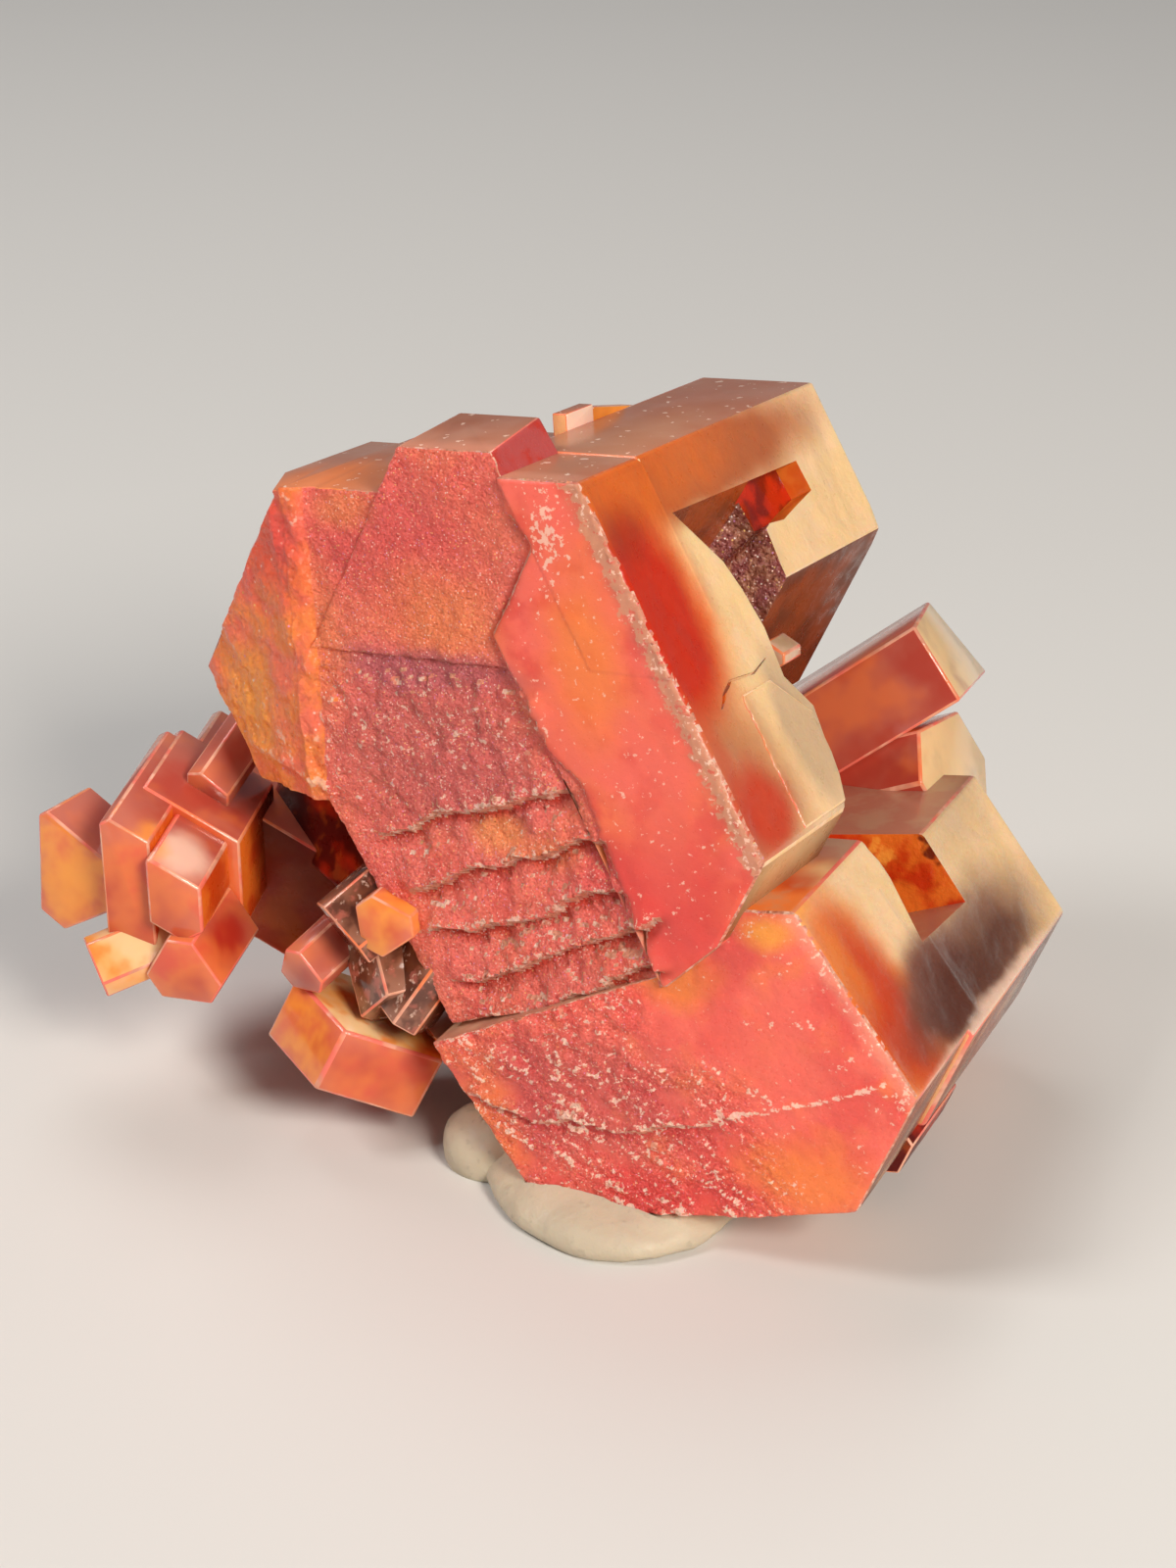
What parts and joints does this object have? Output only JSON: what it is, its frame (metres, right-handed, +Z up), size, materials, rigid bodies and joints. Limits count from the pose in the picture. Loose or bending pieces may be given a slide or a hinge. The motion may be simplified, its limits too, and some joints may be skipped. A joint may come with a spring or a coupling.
{
  "type": "vanadinite crystal specimen",
  "caption": "Intergrown cluster of blocky hexagonal vanadinite crystals with rough end faces, standing on a small pad of mounting putty.",
  "frame": {"origin": "on the putty's flat base, under the middle of the front of the lower crystal", "axes": "+Z up, +X to the right and +Y away, seen from the side that the two large rough end faces look to"},
  "size_m": [0.0315, 0.0217, 0.0223],
  "materials": {
    "vanadinite": "resinous to vitreous, translucent at thin edges",
    "putty": "soft satin"
  },
  "bodies": {
    "root": {"vanadinite": "vanadinite", "mounting_putty": "putty"}
  },
  "joints": []
}
